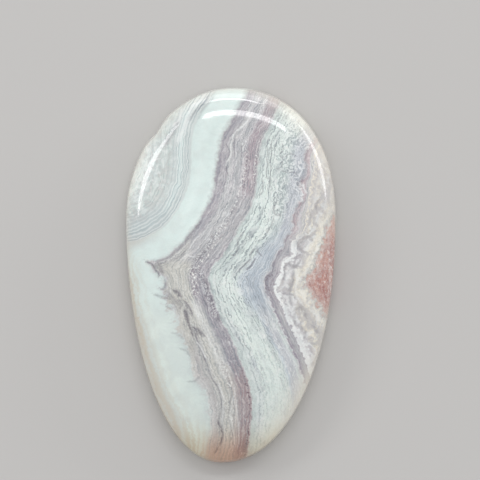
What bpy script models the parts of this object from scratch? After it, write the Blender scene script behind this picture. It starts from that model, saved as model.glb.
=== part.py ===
"""A free-form cabochon of banded chalcedony: one polished stone with a flat back and a domed face.

The stone lies on its flat back. +Z is up out of the dome, +Y runs along the stone towards its
broad end and +X across it. The origin is the middle of the back, at the middle of the outline's box.
"""

import math

import bmesh
import bpy
from mathutils import Vector

MM = 0.001

# Driving dimensions, in millimetres
LENGTH = 46.0
WIDTH = 25.8
THICKNESS = 6.0
# From the broad end's tip to the station where the stone is widest
HEAD_REACH = 16.0

# The wall that a setting grips, its lean inwards, and the rounded bevel below it on the back's edge
WALL_TOP = 1.6
WALL_TAPER = 0.12
BACK_BEVEL = 0.4

# How full each quarter of the outline is: 2 is a plain ellipse, and more is squarer
HEAD_LEFT_FULLNESS = 1.93
HEAD_RIGHT_FULLNESS = 2.2
TAIL_LEFT_FULLNESS = 1.95
TAIL_RIGHT_FULLNESS = 2.25
# How far the narrow tip stands to the left of the broad one
TAIL_LEAN = 1.25

# The shallow dent in the left shoulder, where the stone was ground round a flaw
DENT_ANGLE = math.radians(137)
DENT_HALF_ANGLE = math.radians(5.6)
DENT_DEPTH = 0.34
# The share of the way in from the edge over which the dent runs out
DENT_REACH = 0.12

# The dome is nearly flat round its crown and rolls over towards its edge
CROWN_Y = 2.0
CROWN_FLATNESS = 2.3
EDGE_ROUNDNESS = 1.85

# How finely the curved faces are faceted
OUTLINE_POINTS = 128
DOME_RINGS = 20
BEVEL_SEGMENTS = 2
# The share of the outline's size that the innermost ring of the dome has
CROWN_RING = 0.07

STONE_COLOUR = (0.56, 0.58, 0.63, 1.0)
STONE_ROUGHNESS = 0.12
SMOOTH_ANGLE = math.radians(40)


def clear_scene():
    for obj in list(bpy.data.objects):
        bpy.data.objects.remove(obj)


def signed_power(value, exponent):
    return math.copysign(abs(value) ** exponent, value)


def outline_point(angle):
    """The point of the stone's widest outline at an angle about the middle of its widest station."""
    across, along = math.cos(angle), math.sin(angle)
    is_left = across < 0
    if along >= 0:
        fullness = HEAD_LEFT_FULLNESS if is_left else HEAD_RIGHT_FULLNESS
        reach, lean = HEAD_REACH, 0.0
    else:
        fullness = TAIL_LEFT_FULLNESS if is_left else TAIL_RIGHT_FULLNESS
        reach, lean = LENGTH - HEAD_REACH, TAIL_LEAN
    share = signed_power(along, 2 / fullness)
    x = WIDTH / 2 * signed_power(across, 2 / fullness) - lean * share**2
    y = LENGTH / 2 - HEAD_REACH + reach * share
    return Vector((x, y, 0.0))


def dent_at(angle, size):
    """How far the dent sets the surface in, on the ring with that share of the outline's size."""
    along_edge = math.exp(-(((angle - DENT_ANGLE) / DENT_HALF_ANGLE) ** 2))
    inwards = math.exp(-(((1 - size) / DENT_REACH) ** 2))
    return DENT_DEPTH * along_edge * inwards


def ring_points(size, height, inset=0.0):
    """One ring of the stone: its outline shrunk towards the crown by size and inset, at a height."""
    crown = Vector((0.0, CROWN_Y, 0.0))
    for step in range(OUTLINE_POINTS):
        angle = 2 * math.pi * step / OUTLINE_POINTS
        outwards = outline_point(angle) - crown
        length = outwards.length * size - dent_at(angle, size) - inset
        place = crown + outwards.normalized() * length
        yield Vector((place.x, place.y, height)) * MM


def bevel_steps():
    """Each ring's inset and height on the rounded bevel, from the back to the foot of the wall."""
    for step in range(BEVEL_SEGMENTS + 1):
        turn = math.pi / 2 * step / BEVEL_SEGMENTS
        yield BACK_BEVEL * (1 - math.sin(turn)), BACK_BEVEL * (1 - math.cos(turn))


def dome_height(size):
    """The dome's height on the ring with that share of the dome's own base."""
    rise = THICKNESS - WALL_TOP
    return WALL_TOP + rise * (1 - size**CROWN_FLATNESS) ** (1 / EDGE_ROUNDNESS)


def dome_sizes():
    """Ring sizes from the dome's base to its crown, crowded where the dome turns fastest."""
    for step in range(DOME_RINGS + 1):
        turn = math.pi / 2 * step / DOME_RINGS
        yield CROWN_RING + (1 - CROWN_RING) * math.cos(turn)


def add_ring(bm, size, height, inset=0.0):
    return [bm.verts.new(place) for place in ring_points(size, height, inset)]


def join_rings(bm, lower, upper):
    """Closes the band of faces between two rings."""
    for step in range(OUTLINE_POINTS):
        after = (step + 1) % OUTLINE_POINTS
        bm.faces.new((lower[step], lower[after], upper[after], upper[step]))


def stone_mesh():
    bm = bmesh.new()
    rings = [add_ring(bm, 1.0, height, inset) for inset, height in bevel_steps()]
    base_size = 1 - WALL_TAPER / (WIDTH / 2)
    for size in dome_sizes():
        rings.append(add_ring(bm, base_size * size, dome_height(size)))
    for lower, upper in zip(rings, rings[1:]):
        join_rings(bm, lower, upper)
    bm.faces.new(reversed(rings[0]))
    crown = bm.faces.new(rings[-1])
    middle = bmesh.ops.poke(bm, faces=[crown])["verts"][0]
    middle.co.z = THICKNESS * MM
    mesh = bpy.data.meshes.new("cabochon")
    bm.to_mesh(mesh)
    bm.free()
    return mesh


def stone_material():
    material = bpy.data.materials.new("polished chalcedony")
    material.use_nodes = True
    shader = material.node_tree.nodes["Principled BSDF"]
    shader.inputs["Base Color"].default_value = STONE_COLOUR
    shader.inputs["Roughness"].default_value = STONE_ROUGHNESS
    shader.inputs["Metallic"].default_value = 0.0
    return material


def build_cabochon():
    mesh = stone_mesh()
    mesh.materials.append(stone_material())
    mesh.shade_smooth()
    mesh.set_sharp_from_angle(angle=SMOOTH_ANGLE)
    stone = bpy.data.objects.new("cabochon", mesh)
    bpy.context.scene.collection.objects.link(stone)


clear_scene()
build_cabochon()
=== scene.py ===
import math
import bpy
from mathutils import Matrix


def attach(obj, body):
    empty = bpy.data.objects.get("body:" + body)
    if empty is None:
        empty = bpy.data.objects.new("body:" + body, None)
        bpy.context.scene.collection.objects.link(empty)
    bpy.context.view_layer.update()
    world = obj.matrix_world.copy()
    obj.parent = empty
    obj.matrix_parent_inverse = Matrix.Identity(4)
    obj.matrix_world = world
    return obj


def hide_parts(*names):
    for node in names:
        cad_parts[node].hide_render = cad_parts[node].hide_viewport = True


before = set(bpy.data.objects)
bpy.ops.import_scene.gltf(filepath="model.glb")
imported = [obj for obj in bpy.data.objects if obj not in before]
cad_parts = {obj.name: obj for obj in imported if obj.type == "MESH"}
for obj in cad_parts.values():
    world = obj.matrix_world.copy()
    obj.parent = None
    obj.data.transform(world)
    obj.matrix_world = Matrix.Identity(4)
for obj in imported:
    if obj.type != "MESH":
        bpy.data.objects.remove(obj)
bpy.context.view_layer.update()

from types import SimpleNamespace

import bpy
import numpy as np
from mathutils import Matrix, Vector, noise

mm = 0.001


# small helpers that both kinds of node tree use

def feed(tree, socket, value):
    if isinstance(value, bpy.types.NodeSocket):
        tree.links.new(value, socket)
    else:
        socket.default_value = value


def maths(tree, operation, *values):
    step = tree.nodes.new("ShaderNodeMath")
    step.operation = operation
    for socket, value in zip(step.inputs, values):
        feed(tree, socket, value)
    return step.outputs[0]


def product(tree, *values):
    result = values[0]
    for value in values[1:]:
        result = maths(tree, "MULTIPLY", result, value)
    return result


def minus(tree, first, second):
    return maths(tree, "SUBTRACT", first, second)


def bell(tree, value, steepness=1.0):
    # 1 where the value is 0, falling smoothly on both sides
    return maths(tree, "EXPONENT", product(tree, value, value, -steepness))


def remap(tree, value, low, high, toLow=0.0, toHigh=1.0, smooth=False):
    step = tree.nodes.new("ShaderNodeMapRange")
    step.interpolation_type = "SMOOTHSTEP" if smooth else "LINEAR"
    names = ("Value", "From Min", "From Max", "To Min", "To Max")
    for name, number in zip(names, (value, low, high, toLow, toHigh)):
        feed(tree, step.inputs[name], number)
    return step.outputs["Result"]


def combine(tree, x, y, z):
    step = tree.nodes.new("ShaderNodeCombineXYZ")
    for socket, value in zip(step.inputs, (x, y, z)):
        feed(tree, socket, value)
    return step.outputs[0]


def separate(tree, vector):
    step = tree.nodes.new("ShaderNodeSeparateXYZ")
    feed(tree, step.inputs[0], vector)
    return step.outputs[0], step.outputs[1], step.outputs[2]


def vectorMaths(tree, operation, vector, scale=None):
    step = tree.nodes.new("ShaderNodeVectorMath")
    step.operation = operation
    feed(tree, step.inputs[0], vector)
    if scale is not None:
        feed(tree, step.inputs["Scale"], scale)
    return step.outputs["Value" if operation == "LENGTH" else "Vector"]


def putInScene(name, data):
    piece = bpy.data.objects.new(name, data)
    bpy.context.scene.collection.objects.link(piece)
    return piece


# the stone's shape: one rule for the outline and one for the profile, in a geometry node tree

stoneShape = {
    "Length": 46.0 * mm,
    "Width": 25.8 * mm,
    "Thickness": 6.0 * mm,
    "Head Reach": 16.0 * mm,  # broad tip to the widest station
    "Head Left Fullness": 1.93,  # 2 is a plain ellipse, more is squarer
    "Head Right Fullness": 2.2,
    "Tail Left Fullness": 1.95,
    "Tail Right Fullness": 2.25,
    "Tail Lean": 1.25 * mm,
    "Crown Y": 2.0 * mm,
    "Crown Flatness": 2.3,
    "Edge Roundness": 1.85,
    "Wall Top": 1.6 * mm,
    "Wall Taper": 0.12 * mm,
    "Back Bevel": 0.4 * mm,
    "Dent Angle": math.radians(137),
    "Dent Half Angle": math.radians(5.6),
    "Dent Depth": 0.34 * mm,
    "Dent Reach": 0.055,
    "Polish Waver": 0.006 * mm,  # what is left of the hand polish
    "Waver Scale": 170.0,
    "Segments": 480,
    "Rings": 200,
}
profileShares = {"dome": 0.825, "wall": 0.03, "bevel": 0.03}  # of the rings; the back has the rest


def signedPower(tree, value, exponent):
    size = maths(tree, "POWER", maths(tree, "ABSOLUTE", value), exponent)
    return product(tree, size, maths(tree, "SIGN", value))


def pick(tree, test, whenFalse, whenTrue):
    step = tree.nodes.new("GeometryNodeSwitch")
    step.input_type = "FLOAT"
    for name, value in (("Switch", test), ("False", whenFalse), ("True", whenTrue)):
        feed(tree, step.inputs[name], value)
    return step.outputs[0]


def outlineNodes(tree, sizes, across, along):
    # the outline's point for a direction round the stone, before the dent
    isLeft = maths(tree, "LESS_THAN", across, 0.0)
    isHead = maths(tree, "GREATER_THAN", along, 0.0)
    headFullness = pick(tree, isLeft, sizes["Head Right Fullness"], sizes["Head Left Fullness"])
    tailFullness = pick(tree, isLeft, sizes["Tail Right Fullness"], sizes["Tail Left Fullness"])
    power = maths(tree, "DIVIDE", 2.0, pick(tree, isHead, tailFullness, headFullness))
    tailReach = minus(tree, sizes["Length"], sizes["Head Reach"])
    reach = pick(tree, isHead, tailReach, sizes["Head Reach"])
    lean = pick(tree, isHead, sizes["Tail Lean"], 0.0)
    share = signedPower(tree, along, power)
    halfWidth = product(tree, sizes["Width"], 0.5)
    x = product(tree, halfWidth, signedPower(tree, across, power))
    x = minus(tree, x, product(tree, lean, product(tree, share, share)))
    widest = minus(tree, product(tree, sizes["Length"], 0.5), sizes["Head Reach"])
    return x, maths(tree, "MULTIPLY_ADD", reach, share, widest)


def profileStretches(tree, travel):
    # how far along the dome, the wall, the bevel and the back a ring is, 0 to 1 each
    stretches, start = [], 0.0
    for share in profileShares.values():
        stretches.append(remap(tree, travel, start, start + share))
        start += share
    return stretches + [remap(tree, travel, start, 1.0)]


def stoneRadius(tree, sizes, direction, share, onBevel, onBack):
    # the outline, less the dent and the bevel's inset, drawn in to nothing on the back
    across, along, _ = separate(tree, direction)
    x, y = outlineNodes(tree, sizes, across, along)
    fromCrown = combine(tree, x, minus(tree, y, sizes["Crown Y"]), 0.0)
    turn = maths(tree, "ARCTAN2", along, across)
    fromDent = maths(tree, "DIVIDE", minus(tree, turn, sizes["Dent Angle"]), sizes["Dent Half Angle"])
    inwards = maths(tree, "DIVIDE", minus(tree, 1.0, share), sizes["Dent Reach"])
    dent = product(tree, sizes["Dent Depth"], product(tree, bell(tree, fromDent), bell(tree, inwards)))
    bevelTurn = product(tree, onBevel, math.pi / 2)
    inset = product(tree, sizes["Back Bevel"], minus(tree, 1.0, maths(tree, "COSINE", bevelTurn)))
    radius = product(tree, vectorMaths(tree, "LENGTH", fromCrown), share)
    radius = product(tree, minus(tree, minus(tree, radius, dent), inset), minus(tree, 1.0, onBack))
    return vectorMaths(tree, "SCALE", vectorMaths(tree, "NORMALIZE", fromCrown), radius)


def stoneHeight(tree, sizes, size, onWall, onBevel):
    # the dome, then down the wall and round the bevel to the back; also the dome's share of its rise
    rise = minus(tree, sizes["Thickness"], sizes["Wall Top"])
    fall = minus(tree, 1.0, maths(tree, "POWER", size, sizes["Crown Flatness"]))
    roundness = maths(tree, "DIVIDE", 1.0, sizes["Edge Roundness"])
    fall = maths(tree, "POWER", maths(tree, "MAXIMUM", fall, 0.0), roundness)
    height = maths(tree, "MULTIPLY_ADD", rise, fall, sizes["Wall Top"])
    wallDrop = minus(tree, sizes["Wall Top"], sizes["Back Bevel"])
    height = minus(tree, height, product(tree, wallDrop, onWall))
    bevelTurn = product(tree, onBevel, math.pi / 2)
    return minus(tree, height, product(tree, sizes["Back Bevel"], maths(tree, "SINE", bevelTurn))), fall


def stoneTree(material):
    tree = bpy.data.node_groups.new("stoneShape", "GeometryNodeTree")
    tree.interface.new_socket(name="Geometry", in_out="OUTPUT", socket_type="NodeSocketGeometry")
    identifiers = {}
    for name, value in stoneShape.items():
        kind = "NodeSocketInt" if isinstance(value, int) else "NodeSocketFloat"
        socket = tree.interface.new_socket(name=name, in_out="INPUT", socket_type=kind)
        identifiers[name] = socket.identifier
    sizes = tree.nodes.new("NodeGroupInput").outputs

    # a ball whose rings become the dome, the wall, the bevel and the back
    ball = tree.nodes.new("GeometryNodeMeshUVSphere")
    for name, value in (("Segments", sizes["Segments"]), ("Rings", sizes["Rings"]), ("Radius", 1.0)):
        feed(tree, ball.inputs[name], value)
    ballX, ballY, ballZ = separate(tree, tree.nodes.new("GeometryNodeInputPosition").outputs[0])
    direction = vectorMaths(tree, "NORMALIZE", combine(tree, ballX, ballY, 0.0))
    travel = maths(tree, "DIVIDE", maths(tree, "ARCCOSINE", ballZ), math.pi)  # 0 at the crown, 1 under it
    onDome, onWall, onBevel, onBack = profileStretches(tree, travel)
    size = maths(tree, "SINE", product(tree, onDome, math.pi / 2))
    taper = maths(tree, "DIVIDE", sizes["Wall Taper"], product(tree, sizes["Width"], 0.5))
    taper = product(tree, taper, minus(tree, 1.0, onWall))
    share = product(tree, size, minus(tree, 1.0, taper))
    outX, outY, _ = separate(tree, stoneRadius(tree, sizes, direction, share, onBevel, onBack))
    outY = maths(tree, "ADD", outY, sizes["Crown Y"])
    height, fall = stoneHeight(tree, sizes, size, onWall, onBevel)

    # the polish wavers on the dome and not at its edge
    waver = tree.nodes.new("ShaderNodeTexNoise")
    feed(tree, waver.inputs["Vector"], combine(tree, outX, outY, 0.0))
    feed(tree, waver.inputs["Scale"], sizes["Waver Scale"])
    feed(tree, waver.inputs["Detail"], 1.0)
    lift = product(tree, minus(tree, waver.outputs[0], 0.5), sizes["Polish Waver"])
    lift = product(tree, lift, product(tree, fall, 2.0))

    moved = tree.nodes.new("GeometryNodeSetPosition")
    feed(tree, moved.inputs["Position"], combine(tree, outX, outY, maths(tree, "ADD", height, lift)))
    finish = tree.nodes.new("GeometryNodeSetMaterial")
    feed(tree, finish.inputs["Material"], material)
    smooth = tree.nodes.new("GeometryNodeSetShadeSmooth")
    real = tree.nodes.new("GeometryNodeRealizeInstances")
    chain = [ball, moved, smooth, real, finish, tree.nodes.new("NodeGroupOutput")]
    for before, after in zip(chain, chain[1:]):
        feed(tree, after.inputs[0], before.outputs[0])
    return tree, identifiers


def makeStone(material):
    tree, identifiers = stoneTree(material)
    holder = putInScene("stoneHolder", bpy.data.meshes.new("stoneHolder"))
    modifier = holder.modifiers.new("stone shape", "NODES")
    modifier.node_group = tree
    for name, identifier in identifiers.items():
        modifier[identifier] = stoneShape[name]
    seen = holder.evaluated_get(bpy.context.evaluated_depsgraph_get())
    mesh = bpy.data.meshes.new_from_object(seen)
    bpy.data.objects.remove(holder)
    mesh.name = "polishedStone"
    return putInScene("polishedStone", mesh)


# the banding: lines between the bands, each from the broad end to the narrow one, in mm

bandLines = {
    "onion": [
        (-0.8, 24), (-1.8, 22.6), (-2.6, 21.4), (-3.2, 20.5), (-3.9, 19.5), (-4.3, 18.5), (-4.6, 17.5),
        (-4.8, 16), (-4.8, 14), (-4.9, 12.5), (-5.1, 11), (-5.5, 10), (-5.9, 9), (-6.4, 8), (-7.0, 7),
        (-7.9, 6.1), (-8.9, 5.4), (-9.9, 4.8), (-11.2, 4.2), (-12.6, 3.8), (-13.4, 3.2), (-13.6, 0),
        (-13.4, -4), (-12.7, -8), (-11.6, -12), (-9.9, -16), (-7.6, -20), (-5.4, -24),
    ],
    "violet": [
        (2.4, 24), (1.9, 22), (1.3, 21), (0.7, 20), (0.3, 19), (-0.3, 18), (-0.9, 17), (-1.2, 16), (-1.5, 14.5),
        (-1.7, 13), (-1.9, 11.5), (-2.2, 10), (-2.5, 9), (-3.0, 8), (-3.5, 7.2), (-3.9, 6.4), (-4.5, 5.6),
        (-5.1, 4.8), (-5.7, 4.1), (-6.4, 3.4), (-7.2, 2.7), (-7.9, 2.2), (-8.8, 1.85), (-9.5, 1.75),
        (-10.1, 1.6), (-9.6, 1.2), (-9.3, 0.7), (-8.7, 0.2), (-8.1, -0.3), (-7.9, -1.0), (-7.9, -2.0),
        (-7.8, -2.8), (-7.3, -3.5), (-6.8, -4.3), (-6.4, -5.3), (-6.2, -6.4), (-5.9, -7.5), (-5.4, -8.7),
        (-5.0, -10), (-4.8, -11.3), (-4.4, -12.6), (-3.6, -13.6), (-3.0, -14.6), (-2.8, -16), (-2.6, -18),
        (-2.7, -20), (-3.1, -21.6), (-4.0, -24),
    ],
    "lace": [
        (6.8, 24), (6.1, 21.6), (5.7, 20.4), (5.2, 19.3), (4.8, 18.2), (4.2, 17.2), (3.7, 16), (3.45, 14.6),
        (3.3, 13.2), (3.15, 11.8), (3.0, 10.4), (2.6, 9), (2.2, 8), (1.6, 7), (1.0, 6), (0.5, 5), (-0.1, 4),
        (-0.7, 3.1), (-1.3, 2.2), (-2.0, 1.4), (-2.6, 0.6), (-2.8, -0.3), (-2.6, -1.2), (-2.4, -2.1),
        (-2.0, -3.2), (-1.7, -4.2), (-1.4, -5.1), (-0.9, -6.1), (-0.3, -7.1), (0.3, -8.2), (0.8, -9.4),
        (1.3, -10.8), (1.8, -12.2), (2.3, -13.6), (2.5, -15), (2.5, -17), (2.3, -19), (2.1, -21), (1.6, -24),
    ],
    "lilac": [
        (10.5, 22), (9.2, 19), (8.2, 18.1), (7.5, 17.3), (7.0, 16.3), (6.9, 15), (6.8, 13.8), (6.3, 12.8),
        (6.1, 11.4), (5.9, 10), (5.9, 8.6), (5.9, 7.6), (5.5, 6.4), (5.1, 5.3), (4.7, 4.5), (4.1, 3.7),
        (3.5, 2.8), (2.9, 1.8), (2.2, 0.9), (1.4, 0.1), (1.15, -0.8), (1.3, -1.7), (1.8, -2.7), (2.4, -3.9),
        (3.0, -5), (3.5, -6), (4.1, -7.2), (4.6, -8.2), (5.2, -9.3), (5.7, -10.4), (6.2, -11.8), (6.6, -13.2),
        (6.9, -15), (6.9, -17), (6.6, -20), (6.2, -24),
    ],
    "violetVein": [
        (13, 20), (11, 17.6), (9.9, 16), (9.3, 14.9), (9.0, 14), (9.4, 13.1), (9.3, 12.2), (8.8, 11.6),
        (8.7, 10.6), (8.9, 9.7), (8.8, 9.0), (8.2, 8.5), (7.9, 7.7), (7.6, 6.8), (7.7, 6), (7.5, 5.2),
        (7.0, 4.8), (6.7, 4.1), (6.4, 3.3), (5.8, 2.6), (5.4, 1.9), (5.2, 1.1), (5.0, 0.4), (4.5, -0.1),
        (4.2, -0.6), (4.3, -1.4), (4.6, -2.2), (5.0, -3.2), (5.4, -4.2), (5.8, -5.1), (6.2, -6.1), (6.7, -7.2),
        (7.2, -8.2), (7.7, -9.2), (8.2, -10.3), (8.6, -11.3), (9.0, -12.5), (9.3, -14), (9.3, -17), (9.0, -24),
    ],
    "white": [
        (14, 19), (12, 17.4), (10.9, 16), (10.3, 15), (10.2, 14), (10.2, 13), (10.0, 12), (9.7, 11), (9.6, 10),
        (9.5, 9), (9.3, 8), (9.2, 7), (9.0, 6), (8.7, 5.3), (8.2, 4.8), (7.7, 4.3), (7.4, 3.8), (7.4, 3.1),
        (7.5, 2.5), (7.2, 2.1), (6.5, 1.8), (6.1, 1.3), (6.0, 0.5), (5.7, -0.2), (5.3, -1), (5.15, -1.7),
        (5.4, -2.4), (5.9, -3.1), (6.3, -4), (6.6, -4.9), (7.0, -5.8), (7.5, -6.8), (8.0, -7.8), (8.4, -8.7),
        (8.8, -9.8), (9.2, -11), (9.6, -12.3), (10, -14), (10.4, -17), (10.4, -24),
    ],
    "russet": [
        (17, 14), (14.6, 10), (13.4, 8), (12.4, 6.8), (11.9, 5.8), (11.5, 4.8), (11.3, 3.8), (11.0, 2.8),
        (10.6, 1.8), (10.2, 0.8), (9.7, 0.1), (9.2, -0.5), (9.1, -1.1), (9.5, -1.7), (10.0, -2.5), (10.4, -3.2),
        (11.1, -4), (11.7, -4.8), (12.6, -5.6), (13.4, -7), (13.8, -10), (13.8, -24),
    ],
}

foldY = 0.3  # where the bands turn
bandWidths = [8.0, 4.5, 4.3, 3.2, 3.0, 1.0, 3.2, 3.0]  # usual width of each band, in mm
linesPerMm = [2.5, 1.5, 2.6, 2.1, 2.3, 3.0, 1.0, 1.0]  # fine lines in each band
laceLine, lastBand = 3.0, 8.0  # two places across the bands: the lace's line, and the far edge
bandLean = {"from": 1.6, "slope": (0.9, -0.6)}  # mm of height, and how far the bands lean below it
bandWobble = {"seed": 11, "scale": 0.8, "bands": 0.12, "threads": 0.05}  # the last two in mm
threadFade = {"reach": 3.0, "margin": 5.0, "farthest": 6.0}  # in half-widths
farAway = 1e9  # mm, before any line has been measured

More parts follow.
